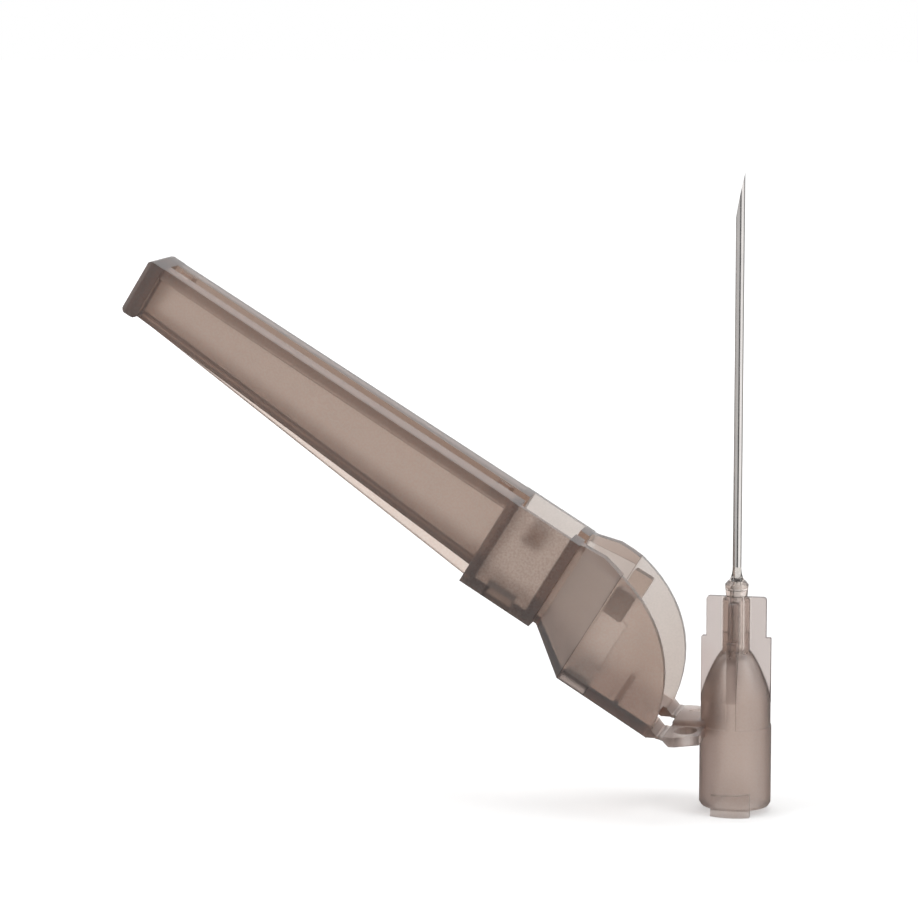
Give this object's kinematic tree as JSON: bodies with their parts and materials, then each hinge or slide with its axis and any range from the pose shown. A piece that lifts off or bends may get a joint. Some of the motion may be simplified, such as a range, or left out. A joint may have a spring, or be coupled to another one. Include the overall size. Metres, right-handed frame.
{
  "type": "safety hypodermic needle",
  "caption": "Steel hypodermic needle bonded in a finned luer hub, with a slotted needle shield that swings over it on a living hinge.",
  "frame": {"origin": "centre of the hub's open luer mouth", "axes": "+Z along the needle towards its point, -X towards the shield, Y along the hinge line"},
  "size_m": [0.0621, 0.014, 0.0598],
  "materials": {
    "smoke_plastic": "translucent smoke-tinted polypropylene",
    "needle_steel": "bright drawn stainless tube",
    "clear_adhesive": "cured clear adhesive"
  },
  "bodies": {
    "hub": {"hub": "smoke_plastic", "cannula": "needle_steel", "adhesive": "clear_adhesive"},
    "shield": {"shield": "smoke_plastic"}
  },
  "joints": [
    {"name": "shield_hinge", "type": "hinge", "parent": "hub", "child": "shield", "pos_m": [-0.00635, 0, 0.00755], "axis": [0, 1, 0], "range_deg": [-55, 58.2]}
  ]
}
